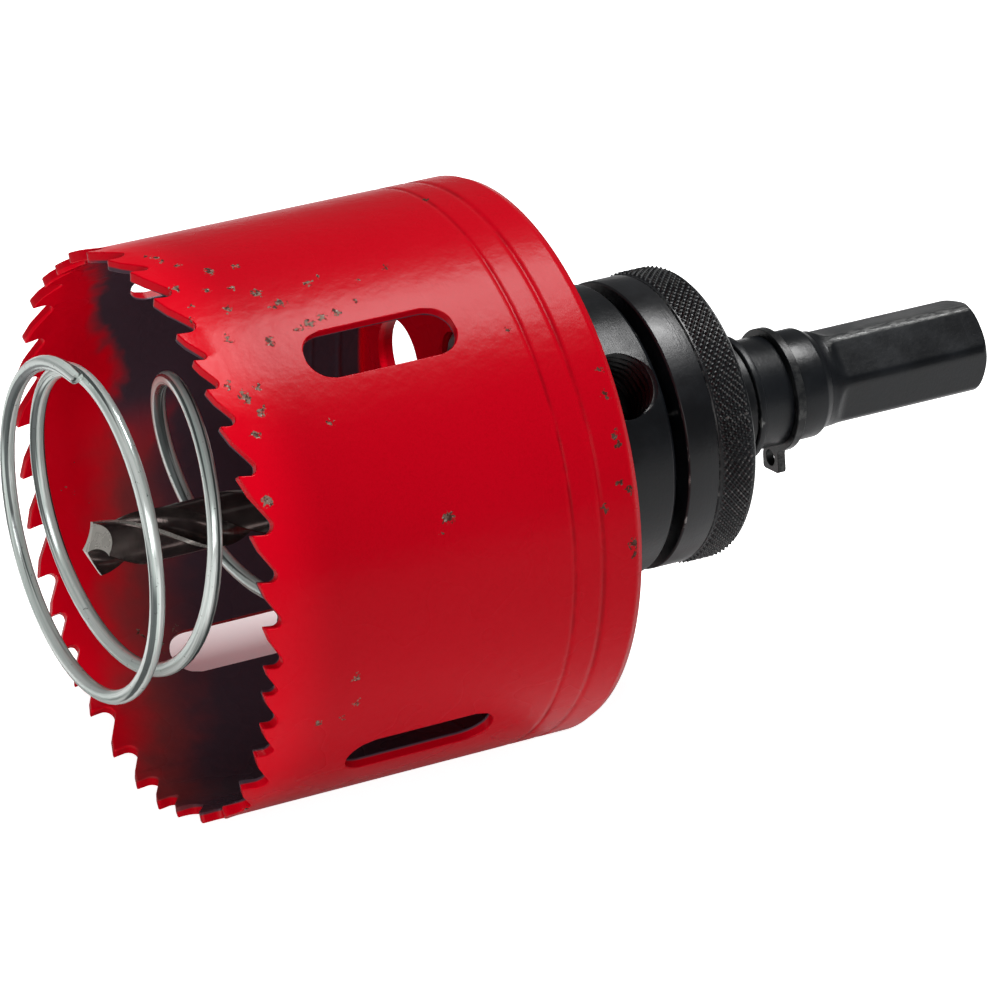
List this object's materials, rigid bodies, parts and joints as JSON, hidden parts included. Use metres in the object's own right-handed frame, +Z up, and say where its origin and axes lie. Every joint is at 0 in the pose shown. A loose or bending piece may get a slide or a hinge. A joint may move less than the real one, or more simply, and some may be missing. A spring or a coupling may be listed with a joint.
{
  "type": "hole saw",
  "caption": "Round toothed cup with side slots on a quick-release arbor with a hex shank, a pilot drill and a conical ejector spring.",
  "frame": {"origin": "centre of the hex shank's end face, on the tool axis", "axes": "+X along the tool axis from the teeth to the shank end, +Z up with the tool lying level, +Y to the far side"},
  "size_m": [0.1217, 0.068, 0.068],
  "materials": {
    "red_paint": "glossy red enamel, chipped to grey steel near the teeth",
    "black_steel": "black oxide, satin, edges worn bright",
    "bright_steel": "plain ground steel",
    "tool_steel": "dark bronze oxide with bright ground edges and point",
    "zinc_wire": "bright zinc plate, slightly green grey"
  },
  "bodies": {
    "arbor": {"arbor_body": "black_steel", "saw_band": "red_paint", "back_cap": "red_paint", "set_screw": "black_steel", "circlip": "black_steel", "pilot_drill": "tool_steel", "ejector_spring": "zinc_wire"},
    "sleeve": {"drive_plate": "black_steel", "drive_pin_1": "bright_steel", "drive_pin_2": "bright_steel", "grip_ring": "black_steel", "hub_washer": "black_steel"}
  },
  "joints": [
    {"name": "sleeve_slide", "type": "slide", "parent": "arbor", "child": "sleeve", "axis": [1, 0, 0], "range_m": [-0.0015, 0.00435]}
  ]
}
